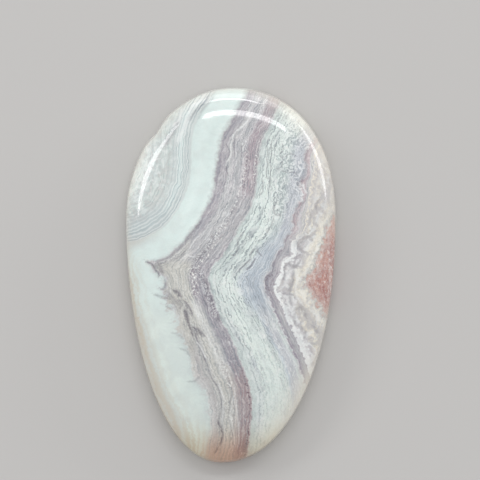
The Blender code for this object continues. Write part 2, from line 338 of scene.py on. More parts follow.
# drawn threads: half-width and strength, then the points, in mm
darkThreads = [
    (0.16, 1.0, [(-10.1, 1.6), (-9.6, 1.35), (-9.3, 1.1), (-9.15, 0.7), (-8.8, 0.3), (-8.8, 0.0)]),
    (0.15, 0.45, [(-9.4, 1.4), (-9.0, 1.7), (-8.7, 1.65), (-8.0, 1.6), (-7.4, 1.8), (-6.9, 2.0), (-6.2, 2.2),
                  (-5.9, 2.5), (-5.6, 2.9)]),
    (0.2, 0.7, [(-8.9, 1.6), (-8.6, 1.2), (-8.4, 0.7), (-8.3, 0.4)]),
    (0.17, 0.7, [(-8.0, -0.7), (-7.9, -1.2), (-8.1, -1.6), (-8.35, -1.6)]),
    (0.2, 0.6, [(-9.0, -2.4), (-8.5, -2.6), (-8.1, -2.7), (-7.7, -2.8)]),
    (0.17, 0.9, [(-6.9, -1.8), (-6.5, -1.9), (-6.2, -2.2), (-6.0, -2.5)]),
    (0.12, 0.5, [(-7.7, -3.8), (-7.3, -4.0)]),
    (0.27, 1.0, [(-6.7, -1.9), (-6.4, -2.1), (-6.2, -2.35)]),
    (0.27, 1.0, [(-5.5, -4.3), (-5.4, -4.7), (-5.3, -5.2)]),
    (0.27, 1.0, [(-4.2, -6.6), (-3.9, -6.8), (-3.5, -7.1)]),
    (0.15, 0.45, [(-7.5, -3.0), (-6.9, -3.6), (-6.6, -4.1), (-6.3, -4.5), (-6.0, -5.0), (-5.8, -5.6),
                  (-5.5, -6.2)]),
    (0.16, 1.0, [(-5.5, -3.2), (-5.2, -3.6), (-4.9, -4.2), (-4.7, -4.6)]),
    (0.19, 1.0, [(-5.6, -4.3), (-5.3, -4.5), (-5.2, -5.0), (-5.2, -5.5), (-5.0, -6.1), (-4.8, -6.7),
                 (-4.6, -7.3)]),
    (0.2, 1.0, [(-4.5, -6.35), (-4.1, -6.5), (-3.8, -6.7), (-3.5, -7.0), (-3.2, -7.3)]),
    (0.12, 0.9, [(-4.6, -6.8), (-4.3, -7.2), (-4.1, -7.7), (-3.9, -8.3), (-3.6, -9.0), (-3.3, -9.7),
                 (-3.1, -10.4)]),
    (0.14, 0.4, [(-6.0, -8.9), (-5.5, -9.1), (-5.2, -9.4), (-4.9, -9.9)]),
    (0.14, 0.3, [(-7.0, -7.0), (-6.4, -7.2), (-5.9, -7.5)]),
    (0.14, 0.5, [(-5.0, -12.9), (-4.6, -12.9), (-4.2, -12.7), (-3.9, -12.4)]),
    (0.15, 1.0, [(-1.5, -17.8), (-1.2, -18.7), (-1.0, -19.3), (-1.1, -20.0), (-1.3, -20.6)]),
    (0.15, 0.9, [(-1.6, -21.1), (-1.9, -21.6)]),
    (0.1, 0.7, [(-1.7, -13.2), (-1.4, -13.9), (-1.2, -14.6)]),
    (0.1, 0.8, [(-0.5, 16.0), (-0.2, 15.2), (-0.2, 14.4), (-0.5, 13.8), (-0.6, 13.2), (-0.4, 12.4)]),
    (0.09, 0.6, [(0.5, 16.8), (0.4, 15.5), (0.5, 14.3), (0.4, 13.5)]),
    (0.09, 0.6, [(1.3, 15.8), (1.3, 14.9), (1.2, 14.0)]),
    (0.1, 0.8, [(1.1, 0.7), (1.6, 1.2), (2.1, 1.7), (2.4, 2.0)]),
    (0.13, 0.9, [(2.0, 0.75), (2.4, 1.1), (2.7, 1.6), (3.0, 2.0)]),
    (0.1, 0.8, [(2.3, 2.4), (2.5, 2.8), (2.8, 3.2)]),
    (0.13, 0.8, [(3.3, 3.1), (3.3, 2.8), (3.6, 2.5)]),
    (0.08, 0.7, [(4.4, 5.2), (4.8, 5.9), (5.1, 6.5), (5.2, 7.0)]),
    (0.09, 0.6, [(5.3, 8.1), (5.4, 8.7), (5.6, 9.1)]),
    (0.1, 0.6, [(5.3, 7.6), (5.5, 7.4), (5.9, 7.3)]),
    (0.1, 0.6, [(0.1, 2.5), (0.6, 2.6), (0.8, 3.3), (0.9, 3.9), (0.8, 4.3), (1.3, 4.9), (1.6, 5.3)]),
    (0.09, 0.6, [(3.9, 11.6), (3.9, 10.8), (3.9, 10.2), (3.6, 9.8)]),
    (0.09, 0.6, [(4.7, 11.8), (4.8, 11.2), (4.6, 10.3)]),
    (0.13, 0.35, [(7.4, 5.0), (7.0, 4.9), (6.9, 4.5), (6.7, 4.0), (6.6, 3.6), (6.4, 3.3)]),
    (0.13, 0.3, [(5.9, 2.7), (5.6, 2.3), (5.4, 1.8), (5.2, 1.2), (5.1, 0.7), (5.0, 0.2)]),
    (0.16, 0.45, [(8.9, 9.0), (8.5, 8.7), (8.2, 8.5), (8.0, 8.1), (7.9, 7.5), (7.7, 7.0), (7.6, 6.6),
                  (7.8, 6.2)]),
    (0.2, 0.45, [(4.9, 0.1), (4.4, -0.2), (4.2, -0.5), (4.3, -1.0), (4.4, -1.6)]),
    (0.12, 0.8, [(6.6, 1.1), (6.5, 0.6), (6.6, 0.1), (6.4, -0.4)]),
    (0.13, 0.8, [(-3.1, -0.8), (-2.8, -1.4), (-2.8, -2.0), (-3.1, -2.5)]),
    (0.12, 0.8, [(-2.5, -2.5), (-2.2, -3.2), (-1.95, -3.8), (-2.2, -4.0), (-2.4, -3.6)]),
    (0.1, 0.6, [(-3.3, -2.9), (-2.9, -3.6), (-2.8, -4.3)]),
    (0.1, 0.5, [(-1.9, -4.6), (-1.6, -5.4), (-1.3, -6.2)]),
    (0.2, 0.5, [(7.6, 0.6), (7.7, -0.2), (7.5, -0.9), (7.2, -1.5), (7.2, -2.2), (7.2, -2.9), (7.4, -3.5)]),
    (0.25, 0.5, [(8.0, -4.1), (8.5, -3.9), (8.9, -4.4), (9.1, -4.9)]),
    (0.2, 0.4, [(7.8, -4.8), (7.7, -5.4), (8.0, -6.0), (8.6, -6.4), (9.1, -6.8), (9.0, -7.5)]),
    (0.2, 0.4, [(10.2, -6.3), (10.5, -6.8), (10.6, -7.5)]),
    (0.17, 0.6, [(7.0, 1.4), (7.5, 1.2), (8.0, 1.2), (8.3, 1.6)]),
    (0.2, 0.4, [(8.1, 3.9), (8.3, 3.4), (8.8, 3.0)]),
    (0.2, 0.4, [(8.8, 4.6), (9.4, 4.7), (9.8, 4.4)]),
    (0.17, 0.5, [(9.7, 7.4), (9.7, 6.8), (9.5, 6.2)]),
    (0.17, 0.5, [(10.6, 9.0), (10.4, 8.6), (10.4, 8.1)]),
    (0.07, 0.6, [(4.5, 16.6), (4.4, 15.8), (4.5, 15.0), (4.4, 14.2), (4.5, 13.4), (4.3, 12.6), (4.4, 11.8)]),
    (0.07, 0.6, [(5.0, 16.4), (4.9, 15.6), (5.0, 14.8), (4.8, 14.0), (4.9, 13.2), (4.8, 12.4), (4.9, 11.6)]),
    (0.07, 0.6, [(6.3, 16.0), (6.5, 15.5), (6.2, 15.0), (5.9, 14.7), (6.3, 14.3), (6.8, 14.5), (7.1, 14.8),
                 (7.7, 14.7), (8.0, 14.5)]),
    (0.07, 0.6, [(5.6, 13.0), (6.0, 13.1), (6.3, 13.5), (6.2, 13.8)]),
    (0.07, 0.6, [(6.3, 12.7), (7.0, 12.5), (7.7, 12.6), (8.0, 12.3)]),
    (0.07, 0.6, [(5.3, 9.0), (5.2, 7.8), (5.5, 7.3), (6.0, 7.5)]),
    (0.19, 0.65, [(-8.9, 1.75), (-8.1, 1.95), (-7.3, 2.4), (-6.5, 3.1), (-5.8, 3.85), (-5.2, 4.6),
                  (-4.5, 5.5), (-3.8, 6.4)]),
    (0.45, 0.55, [(-7.2, -2.4), (-6.6, -3.0), (-6.1, -3.8), (-5.7, -4.6)]),
    (0.4, 0.4, [(-2.6, 3.4), (-3.4, 2.6), (-4.2, 1.9), (-4.6, 1.0)]),
    (0.4, 0.3, [(-5.0, -7.6), (-4.6, -8.8), (-4.3, -10.0)]),
    (0.09, 0.6, [(-3.0, -10.4), (-2.7, -11.3), (-2.4, -12.2), (-2.0, -12.9), (-1.6, -13.6)]),
    (0.09, 0.5, [(-1.2, -14.7), (-1.15, -15.8), (-1.3, -17.0), (-1.5, -17.8)]),
    (0.09, 0.5, [(0.1, -14.5), (-0.1, -15.6), (-0.3, -17.0), (0.1, -18.8), (0.3, -20.6)]),
    (0.09, 0.4, [(-2.0, -8.0), (-1.6, -9.2), (-1.1, -10.4), (-0.6, -11.8)]),
    (0.2, 0.5, [(-2.8, 21.7), (-3.3, 21.0), (-3.9, 20.4), (-4.5, 19.8), (-5.0, 19.1)]),
    (0.16, 0.4, [(-2.2, 21.6), (-2.9, 20.8), (-3.5, 20.0), (-3.9, 19.2)]),
    (0.3, 0.55, [(-6.5, 18.5), (-6.9, 17.8), (-7.4, 17.0), (-7.9, 16.1)]),
    (0.2, 0.5, [(9.3, 15.3), (9.1, 14.4), (9.2, 13.2), (9.0, 12.2), (8.5, 11.5)]),
    (0.14, 0.6, [(8.7, 11.4), (8.3, 11.4), (8.1, 11.1)]),
]
paleThreads = [
    (0.11, 0.9, [(2.2, 19.3), (1.9, 18.6), (1.4, 18.1), (0.8, 17.7), (0.4, 17.2), (0.1, 16.2), (0.0, 15.2),
                 (-0.1, 14.4), (-0.5, 13.8), (-0.6, 13.4)]),
    (0.1, 0.8, [(-4.0, -8.2), (-3.6, -8.8), (-3.3, -9.4), (-3.0, -10.0)]),
    (0.1, 0.7, [(-1.5, -13.4), (-1.1, -14.2), (-0.9, -14.9)]),
    (0.1, 0.6, [(-5.8, 2.2), (-5.3, 2.5), (-4.8, 2.3), (-4.3, 2.3)]),
    (0.1, 0.5, [(-5.6, 2.4), (-5.1, 3.1), (-4.7, 3.8), (-4.2, 4.5), (-3.6, 5.0)]),
    (0.17, 0.35, [(8.9, 8.6), (8.5, 7.7), (8.2, 6.6), (8.0, 5.6), (7.4, 5.0), (7.0, 4.2), (6.8, 3.2),
                  (6.3, 2.5), (5.8, 1.7), (5.5, 0.8), (5.3, 0.2)]),
    (0.45, 0.5, [(-4.4, -3.4), (-3.9, -4.6), (-3.2, -6.0), (-2.7, -7.2), (-2.2, -8.4), (-1.6, -9.8),
                 (-1.1, -11.0), (-0.7, -12.2)]),
    (0.12, 0.8, [(7.45, 4.0), (7.55, 3.4), (7.7, 2.7), (7.5, 2.2), (6.9, 2.15), (6.3, 1.7), (6.2, 1.0),
                 (6.35, 0.4), (6.1, -0.2)]),
    # painted highlight: the bright glint off a small pit
    (0.11, 1.0, [(8.85, 11.0), (8.95, 10.5), (9.15, 10.1)]),
    (0.09, 0.5, [(0.35, -14.6), (0.15, -15.7), (-0.05, -17.0), (0.35, -18.8), (0.5, -20.6)]),
    (0.09, 0.5, [(0.7, -15.2), (0.8, -17.0), (1.0, -18.8), (1.0, -20.5)]),
    (0.09, 0.5, [(-0.95, -15.0), (-0.9, -16.4), (-1.0, -17.6), (-0.7, -19.0), (-0.8, -20.4)]),
    (0.34, 0.75, [(-3.1, 22.1), (-3.9, 21.4), (-4.7, 20.5), (-5.2, 19.4), (-5.5, 18.4), (-5.9, 17.4),
                  (-6.4, 16.4)]),
    (0.16, 0.8, [(-6.0, 20.3), (-6.1, 19.7), (-6.3, 19.0), (-7.0, 18.3)]),
    (0.2, 0.7, [(7.0, 0.9), (7.1, 0.2), (6.8, -0.6), (6.6, -1.1), (6.1, -1.6)]),
    (0.2, 0.6, [(8.3, 0.6), (8.1, -0.4), (7.9, -1.4), (8.0, -2.4), (8.6, -3.3)]),
    (0.25, 0.5, [(10.0, -4.4), (10.5, -5.0), (10.8, -5.6)]),
    (0.16, 0.5, [(11.9, 5.0), (12.0, 3.5), (12.1, 1.5), (12.1, -0.5), (11.9, -2.4)]),
]
curlThreads = [
    (0.13, 0.9, [(-1.0, 6.0), (-1.8, 5.0), (-2.4, 4.2), (-2.9, 3.4), (-3.5, 2.6), (-4.2, 1.8), (-4.6, 1.0)]),
    (0.17, 0.9, [(-3.7, 0.8), (-3.5, -0.2), (-3.1, -1.2), (-2.8, -2.2), (-2.4, -3.2), (-2.0, -4.2),
                 (-1.5, -5.2)]),
    (0.11, 0.35, [(-1.5, -5.2), (-1.2, -6.2), (-0.7, -7.2), (-0.2, -8.4), (0.2, -9.6), (0.7, -11.0)]),
    (0.13, 0.4, [(-5.5, -3.4), (-5.0, -4.6), (-4.7, -5.8), (-4.2, -7.0)]),
    (0.1, 0.5, [(2.2, 15.5), (2.1, 14.0), (1.8, 12.0), (1.3, 10.0), (0.4, 8.0), (-0.6, 6.6)]),
]
crystalThreads = [
    (0.16, 1.0, [(-4.8, 0.6), (-4.6, -0.1), (-4.4, -0.8), (-4.35, -1.4), (-4.4, -2.1)]),
    (0.13, 0.6, [(-1.3, 4.6), (-1.9, 3.9), (-2.4, 3.3), (-2.7, 2.6), (-3.3, 2.0), (-3.9, 1.2), (-4.3, 0.6)]),
    (0.14, 0.5, [(1.9, 15.0), (1.85, 13.8), (1.6, 12.5), (1.3, 11.0), (1.0, 9.8), (0.5, 8.3), (-0.1, 7.0),
                 (-0.9, 5.6)]),
    (0.1, 0.5, [(3.15, 14.8), (3.1, 13.7), (2.9, 12.5), (2.8, 11.2)]),
    (0.22, 0.5, [(-1.2, -10.6), (-0.7, -11.6), (-0.2, -12.8), (0.0, -13.6)]),
    (0.3, 0.4, [(-0.4, -15.8), (0.1, -17.6)]),
    (0.3, 0.4, [(9.6, -0.6), (10.0, 0.4), (10.6, 1.6)]),
]


def smoothLine(points, steps=4):
    # a curve through the points, so that no corner shows
    knots = np.array([points[0]] + list(points) + [points[-1]], float)
    line = []
    for a, b, c, d in zip(knots, knots[1:], knots[2:], knots[3:]):
        for step in range(steps):
            t = step / steps
            line.append(0.5 * (2 * b + (c - a) * t + (2 * a - 5 * b + 4 * c - d) * t**2
                               + (3 * b - a - 3 * c + d) * t**3))
    line.append(knots[-1])
    return np.array(line)


def gapToStep(places, start, end):
    # how far each place is from a straight step of a line, and the share of the step that it lies at
    step = end - start
    share = np.clip((places - start) @ step / max(step @ step, 1e-9), 0, 1)
    away = places - start - share[:, None] * step
    return np.hypot(away[:, 0], away[:, 1]), share


def gapToLine(places, line):
    # how far each place is from a line, and how far along it from the fold, in mm
    lengths = np.hypot(*np.diff(line, axis=0).T)
    travelled = np.concatenate([[0], np.cumsum(lengths)])
    travelled -= np.interp(-foldY, -line[:, 1], travelled)
    best, along = np.full(len(places), farAway), np.zeros(len(places))
    for start, end, length, before in zip(line, line[1:], lengths, travelled):
        gap, share = gapToStep(places, start, end)
        closer = gap < best
        best[closer] = gap[closer]
        along[closer] = (before + share * length)[closer]
    return best, along


def threadFields(places, threads):
    # signed distance in half-widths to the nearest thread, and how strongly it shows there
    side = np.full(len(places), threadFade["farthest"])
    reach = np.zeros(len(places))
    for halfWidth, strength, points in threads:
        line = smoothLine(points)
        margin = threadFade["margin"] * halfWidth
        near = np.all((places > line.min(0) - margin) & (places < line.max(0) + margin), axis=1)
        spots = places[near]
        best, sign = np.full(len(spots), farAway), np.ones(len(spots))
        for start, end in zip(line, line[1:]):
            gap, _ = gapToStep(spots, start, end)
            closer = gap < best
            best[closer] = gap[closer]
            along, out = end - start, spots[closer] - start
            sign[closer] = np.sign(along[0] * out[:, 1] - along[1] * out[:, 0])
        gap = best / halfWidth
        seen = strength * np.exp(-((gap / threadFade["reach"]) ** 2))
        stronger = seen > reach[near]
        numbers = np.flatnonzero(near)[stronger]
        side[numbers] = (sign * np.minimum(gap, threadFade["farthest"]))[stronger]
        reach[numbers] = seen[stronger]
    return side, reach


def bandPosition(places):
    # 0 to 8 across the bands, with each line at a whole number, and mm along them
    lines = [smoothLine(points, 3) for points in bandLines.values()]
    gaps, travels = zip(*(gapToLine(places, line) for line in lines))
    right = [places[:, 0] > np.interp(-places[:, 1], -line[:, 1], line[:, 0]) for line in lines]
    band, along = np.clip(1 - gaps[0] / bandWidths[0], 0, 1), travels[0]
    for number in range(len(lines) - 1):
        share = gaps[number] / np.maximum(gaps[number] + gaps[number + 1], 1e-6)
        between = travels[number] * (1 - share) + travels[number + 1] * share
        band = np.where(right[number], number + 1 + share, band)
        along = np.where(right[number], between, along)
    band = np.where(right[-1], len(lines) + np.clip(gaps[-1] / bandWidths[-1], 0, 1), band)
    return band, np.where(right[-1], travels[-1], along)


def setAttribute(mesh, name, values):
    layer = mesh.attributes.new(name, "FLOAT", "POINT")
    layer.data.foreach_set("value", values.astype(np.float32))


def sumAcross(band, amounts):
    # the running total of each band's amount, read at a place across the bands
    return np.interp(band, range(len(amounts) + 1), np.concatenate([[0], np.cumsum(amounts)]))


def markBands(mesh):
    corners = np.empty(len(mesh.vertices) * 3)
    mesh.vertices.foreach_get("co", corners)
    corners = corners.reshape(-1, 3) / mm
    # the bands lean below the wall's top, so the back doesn't mirror the face
    lean = np.minimum(corners[:, 2] - bandLean["from"], 0)
    leanX, leanY = bandLean["slope"]
    places = np.stack([corners[:, 0] + leanX * lean, corners[:, 1] + leanY * lean], axis=1)
    noise.seed_set(bandWobble["seed"])  # unseeded, this noise changes with each run
    scale = bandWobble["scale"]
    spots = [Vector((x * scale, y * scale, 3.0)) for x, y in places]
    wobble = np.array([noise.turbulence_vector(spot, 3, False) for spot in spots])[:, :2]
    threadPlaces = places + bandWobble["threads"] * wobble
    places += bandWobble["bands"] * wobble
    band, along = bandPosition(places)
    setAttribute(mesh, "bandPosition", band)
    setAttribute(mesh, "alongBands", along)
    setAttribute(mesh, "acrossBands", sumAcross(band, bandWidths))
    setAttribute(mesh, "fineLines", sumAcross(band, np.multiply(bandWidths, linesPerMm)))
    kinds = {"dark": darkThreads, "pale": paleThreads, "crystal": crystalThreads, "curl": curlThreads}
    for name, threads in kinds.items():
        side, reach = threadFields(threadPlaces, threads)
        setAttribute(mesh, name + "Side", side)
        setAttribute(mesh, name + "Reach", reach)


# the stone's material

palette = {  # as seen, 0 to 255
    "skyPale": (217, 231, 228),
    "skyBright": (222, 235, 232),
    "skyGrey": (205, 214, 212),
    "mint": (213, 224, 220),
    "mintPale": (219, 230, 225),
    "mintGrey": (198, 209, 206),
    "mintBlue": (197, 207, 214),
    "rimPale": (226, 234, 228),
    "cloudGrey": (190, 198, 198),
    "pearl": (200, 197, 200),
    "pearlBlue": (196, 199, 204),
    "ash": (183, 183, 185),
    "ashWarm": (187, 187, 184),
    "violetGrey": (173, 168, 174),
    "violetDark": (157, 152, 160),
    "mauve": (174, 162, 168),
    "mauveDark": (159, 150, 156),
    "beige": (197, 196, 191),
    "sand": (201, 192, 176),
    "lilac": (188, 192, 199),
    "lilacBlue": (177, 187, 197),
    "white": (234, 236, 235),
    "cream": (229, 223, 209),
    "creamGrey": (190, 187, 187),
    "plum": (168, 163, 168),
    "plumBrown": (168, 143, 142),
    "plumInk": (112, 92, 102),
    "roseMauve": (187, 170, 174),
    "beakTan": (199, 198, 191),
    "veinDark": (152, 144, 157),
    "roseBeige": (198, 160, 148),
    "russet": (188, 136, 124),
    "russetDark": (157, 104, 101),
    "tone": (168, 172, 179),
    "line": (138, 145, 152),
    "ink": (108, 104, 114),
    "dash": (120, 130, 137),
    "sparkle": (238, 238, 234),
    "onionGrey": (197, 207, 203),
    "onionLine": (142, 158, 166),
    "onionFoot": (180, 190, 192),
}

# the bands' colours, by their places across, above the fold, at it and below it
aboveFold = [
    (0.0, "rimPale"), (0.25, "rimPale"), (0.4, "skyGrey"), (0.52, "onionGrey"), (0.64, "onionGrey"),
    (0.76, "skyGrey"), (0.84, "skyPale"), (0.9, "skyGrey"), (0.99, "skyGrey"), (1.04, "skyPale"),
    (1.35, "skyBright"), (1.65, "skyPale"), (1.85, "skyBright"), (1.94, "skyGrey"), (2.0, "ash"),
    (2.05, "violetDark"), (2.11, "violetGrey"), (2.22, "violetGrey"), (2.28, "ash"), (2.4, "pearl"),
    (2.5, "ash"), (2.62, "pearl"), (2.71, "mauve"), (2.9, "mauve"), (2.95, "mauveDark"), (2.99, "ash"),
    (3.06, "mintGrey"), (3.18, "mint"), (3.4, "mintPale"), (3.8, "mintPale"), (4.15, "mintGrey"),
    (4.5, "lilac"), (4.85, "lilac"), (4.94, "pearl"), (4.97, "pearl"), (5.0, "mauve"), (5.1, "roseMauve"),
    (5.35, "roseMauve"), (5.5, "pearl"), (5.75, "beige"), (5.93, "pearl"), (5.99, "cream"), (6.03, "cream"),
    (6.08, "creamGrey"), (6.25, "cream"), (6.45, "creamGrey"), (6.65, "cream"), (6.78, "cream"), (6.9, "beige"),
    (7.06, "roseBeige"), (7.45, "russet"), (8.0, "russet"),
]
atFold = [
    (0.0, "rimPale"), (0.6, "rimPale"), (0.9, "beige"), (1.05, "beige"), (1.2, "skyGrey"), (1.4, "skyPale"),
    (1.85, "skyPale"), (1.97, "skyGrey"), (2.0, "pearl"), (2.05, "ash"), (2.12, "ash"), (2.4, "pearl"),
    (2.5, "ash"), (2.64, "violetGrey"), (2.74, "violetDark"), (2.86, "violetGrey"), (2.98, "violetGrey"),
    (3.05, "mintGrey"), (3.22, "mintGrey"), (3.4, "mint"), (3.6, "mintPale"), (3.85, "mint"), (4.0, "mintBlue"),
    (4.35, "lilacBlue"), (4.7, "lilacBlue"), (4.88, "pearlBlue"), (4.94, "pearl"), (4.98, "violetDark"),
    (5.3, "violetDark"), (5.6, "violetGrey"), (5.92, "violetGrey"), (6.0, "white"), (6.1, "white"),
    (6.19, "plum"), (6.34, "pearl"), (6.46, "creamGrey"), (6.56, "cream"), (6.7, "cream"), (6.8, "cream"),
    (6.9, "beige"), (7.04, "roseBeige"), (7.45, "russet"), (8.0, "russet"),
]
belowFold = [
    (0.0, "rimPale"), (1.0, "sand"), (1.1, "sand"), (1.24, "beige"), (1.36, "skyGrey"), (1.48, "mintPale"),
    (1.7, "mintPale"), (1.9, "mint"), (2.0, "skyGrey"), (2.09, "pearl"), (2.17, "violetGrey"), (2.26, "ash"),
    (2.34, "ash"), (2.42, "beige"), (2.55, "ashWarm"), (2.66, "beige"), (2.73, "ash"), (2.79, "violetDark"),
    (2.94, "violetDark"), (2.99, "violetGrey"), (3.03, "mintGrey"), (3.14, "skyGrey"), (3.28, "skyGrey"),
    (3.4, "mintPale"), (3.6, "mintPale"), (3.88, "mintPale"), (4.06, "mintGrey"), (4.25, "mintBlue"),
    (4.4, "pearlBlue"), (4.65, "pearlBlue"), (4.85, "skyGrey"), (4.94, "pearl"), (5.0, "veinDark"),
    (5.2, "violetDark"), (5.6, "ash"), (5.95, "violetGrey"), (6.01, "white"), (6.12, "white"), (6.22, "pearl"),
    (6.4, "cream"), (6.6, "creamGrey"), (6.8, "cream"), (6.92, "beige"), (7.06, "roseBeige"), (7.45, "russet"),
    (8.0, "russet"),
]

stoneFinish = {
    "roughness": 0.07,
    "roughnessSpread": 0.3,  # the share by which the roughness comes and goes
    "ior": 1.54,
    "translucence": 0.1,
    "translucentDepth": 0.5 * mm,
    "translucentColour": (1.0, 0.8, 0.7),
    "grain": 0.5,
    # painted shade: the most that the head is darkened
    "headShade": 0.13,
    "tailTint": (0.93, 0.87, 0.76, 1.0),
    "tailRose": (1.0, 0.76, 0.72, 1.0),
    # the most that each marking covers what lies under it
    "plumEdge": 0.65, "greyStretch": 0.75, "beak": 0.85, "beakOver": 0.4, "bend": 0.2,
    "fibreDark": 0.2, "fibrePale": 0.3, "lineDark": 0.7, "linePale": 0.5, "toneDark": 0.5, "tonePale": 0.4,
    "lowStreak": 0.5, "lowFleck": 0.5, "fleck": 0.45, "dash": 0.7, "ridge": 0.45, "curl": 0.5,
    "onionLine": 1.0, "onionFine": 0.5, "onionFoot": 0.75, "onionPale": 0.4, "edgeStreak": 0.6,
    "cloudDark": 0.85, "cloudPale": 0.6, "creamShade": 0.35, "mottleDark": 0.6, "mottlePale": 0.7,
    "threadDark": 0.8, "threadPale": 0.85, "wormDark": 0.42, "wormPale": 0.4,
    "russetDark": 0.6, "russetPale": 0.35, "russetSpeck": 0.5, "russetSparkle": 0.55,
    "crystalDark": 0.75, "crystalPale": 0.95, "veinSpeck": 0.5,
    # painted light: these four lay on the rim glow, the lower left show-through and the right edges' painted
    # light
    "paintedRimLight": 0.4, "lowerLeftPaintedLight": 0.9, "upperRightPaintedHighlight": 0.4, "lowerRightPaintedLight": 0.6,
}

# how much of each marking shows at places across the bands
bandAmounts = {
    "ragged": [(0.0, 0.0), (0.95, 0.04), (1.5, 0.08), (1.9, 0.26), (2.1, 0.2), (2.6, 0.15), (3.0, 0.14),
               (3.5, 0.2), (4.5, 0.35), (5.0, 0.6), (6.0, 0.6), (6.2, 0.45), (6.8, 0.6), (7.2, 0.7),
               (8.0, 0.4)],
    "tufts": [(1.0, 0.0), (1.5, 0.3), (1.85, 1.0), (2.0, 1.0), (2.1, 0.0)],
    "plumEdge": [(2.5, 0.0), (2.68, 0.6), (2.85, 1.0), (2.99, 1.0), (3.02, 0.0)],
    "greyStretch": [(2.15, 0.0), (2.3, 1.0), (2.95, 1.0), (3.0, 0.0)],
    "beak": [(2.0, 0.0), (2.1, 1.0), (2.5, 1.0), (2.6, 0.0)],
    "bend": [(4.95, 0.0), (5.02, 1.0), (5.6, 0.9), (5.9, 0.3), (5.98, 0.0)],
    "haze": [(0.95, 0.0), (1.1, 1.0), (1.6, 0.7), (1.98, 0.4), (2.02, 0.0)],
    "fibre": [(0.98, 0.0), (1.05, 0.3), (1.6, 0.3), (1.85, 1.0), (1.98, 1.0), (2.02, 0.0)],
    "crinkle": [(0.0, 1.0), (1.0, 0.4), (2.0, 1.5), (2.6, 1.8), (3.0, 1.1), (3.4, 1.3), (3.8, 2.6),
                (4.2, 3.6), (5.0, 2.6), (6.0, 1.2), (8.0, 1.5)],
    "lineDark": [(1.98, 0.0), (2.05, 0.5), (2.9, 0.55), (3.02, 0.6), (3.2, 0.9), (3.5, 1.0), (3.8, 0.8),
                 (4.1, 0.7), (4.9, 0.6), (5.05, 0.9), (5.9, 0.9), (6.0, 0.1), (6.2, 0.3), (7.0, 0.2),
                 (8.0, 0.0)],
    "linePale": [(1.98, 0.0), (2.1, 0.5), (2.5, 0.9), (2.9, 0.6), (3.1, 0.5), (3.9, 0.6), (4.2, 0.7),
                 (4.9, 0.7), (5.2, 0.5), (6.0, 0.6), (7.0, 0.6), (8.0, 0.2)],
    "tone": [(0.0, 0.3), (0.9, 0.4), (1.1, 0.05), (1.9, 0.1), (2.1, 0.8), (2.7, 0.4), (3.0, 0.4), (3.1, 0.7),
             (4.0, 0.8), (5.0, 0.6), (6.0, 0.4), (8.0, 0.3)],
    "lowLace": [(3.1, 0.0), (3.35, 1.0), (4.7, 1.0), (4.95, 0.0)],
    "dash": [(0.0, 0.3), (0.95, 0.3), (1.0, 0.0), (1.98, 0.0), (2.1, 0.6), (2.9, 0.8), (3.05, 0.6), (3.3, 1.0),
             (4.1, 1.0), (4.5, 0.55), (4.9, 0.45), (5.1, 0.4), (6.0, 0.1), (6.3, 0.3), (8.0, 0.3)],
    "ridge": [(3.4, 0.0), (3.58, 1.0), (3.8, 1.0), (3.95, 0.0)],
    "curl": [(3.2, 0.0), (3.5, 0.5), (3.9, 1.0), (4.9, 1.0), (5.1, 0.5), (6.0, 0.0)],
    "onion": [(0.0, 0.15), (0.5, 0.3), (0.7, 0.6), (0.8, 1.0), (0.97, 1.0), (1.0, 0.1), (1.3, 0.0)],
    "onionFoot": [(0.5, 0.0), (0.7, 1.0), (0.93, 1.0), (1.0, 0.0)],
    "edgeStreak": [(0.9, 1.0), (1.15, 0.9), (1.35, 0.0), (2.0, 0.0)],
    "cloud": [(0.0, 0.6), (0.6, 0.5), (0.85, 0.0), (6.1, 0.0), (6.2, 1.0), (6.5, 0.9), (6.7, 0.4), (7.0, 0.3),
              (8.0, 0.0)],
    "creamShade": [(5.98, 0.0), (6.05, 1.0), (7.0, 1.0), (7.1, 0.0)],
    "mottle": [(0.0, 0.7), (0.5, 0.6), (0.8, 0.1), (2.0, 0.0), (6.1, 0.0), (6.3, 0.2), (8.0, 0.2)],
    "grain": [(0.0, 0.5), (1.0, 0.2), (1.9, 0.2), (2.1, 1.0), (3.0, 1.0), (3.2, 0.7), (5.0, 0.6), (7.0, 0.7),
              (7.1, 1.0)],
}

# each noise's scale, detail, roughness and distortion
patterns = {
    "ragged": (1.7, 2.0, 0.55, 0.0),
    "tufts": (1.0, 3.0, 0.6, 0.4),
    "haze": (0.5, 2.0, 0.6, 0.0),
    "fibre": (1.0, 3.0, 0.6, 0.0),
    "crinkle": (1.45, 2.0, 0.5, 0.0),
    "smallCrinkle": (3.0, 1.0, 0.5, 0.0),
    "drift": (1.0, 2.0, 0.6, 0.0),
    "breaks": (0.8, 2.0, 0.6, 0.0),
    "tone": (1.0, 2.0, 0.55, 0.0),
    "streaks": (1.0, 2.0, 0.6, 0.0),
    "lowFlecks": (3.0, 1.0, 0.5, 0.6),
    "dashBreaks": (1.0, 2.0, 0.5, 0.0),
    "curl": (1.2, 1.0, 0.5, 0.4),
    "curlPatch": (0.6, 1.0, 0.5, 0.0),
    "onionDrift": (1.0, 2.0, 0.5, 0.0),
    "onionPatch": (0.3, 1.0, 0.5, 0.0),
    "cloud": (0.6, 2.0, 0.5, 0.4),
    "mottle": (1.6, 3.0, 0.6, 0.5),
    "fray": (3.5, 2.0, 0.6, 0.0),
    "worm": (1.3, 1.0, 0.5, 0.8),
    "specks": (4.2, 1.0, 0.5, 0.0),
    "redPatch": (1.0, 3.0, 0.6, 0.0),
    "redSpecks": (2.4, 2.0, 0.6, 0.0),
    "grain": (5.0, 2.0, 0.6, 0.0),
    "polish": (0.9, 2.0, 0.5, 0.0),
}


def paint(name):
    # linear colour for a node socket
    levels = [value / 255 for value in palette[name]]
    return [v / 12.92 if v <= 0.04045 else ((v + 0.055) / 1.055) ** 2.4 for v in levels] + [1.0]


def attribute(tree, name):
    step = tree.nodes.new("ShaderNodeAttribute")
    step.attribute_name = name
    return step.outputs["Fac"]


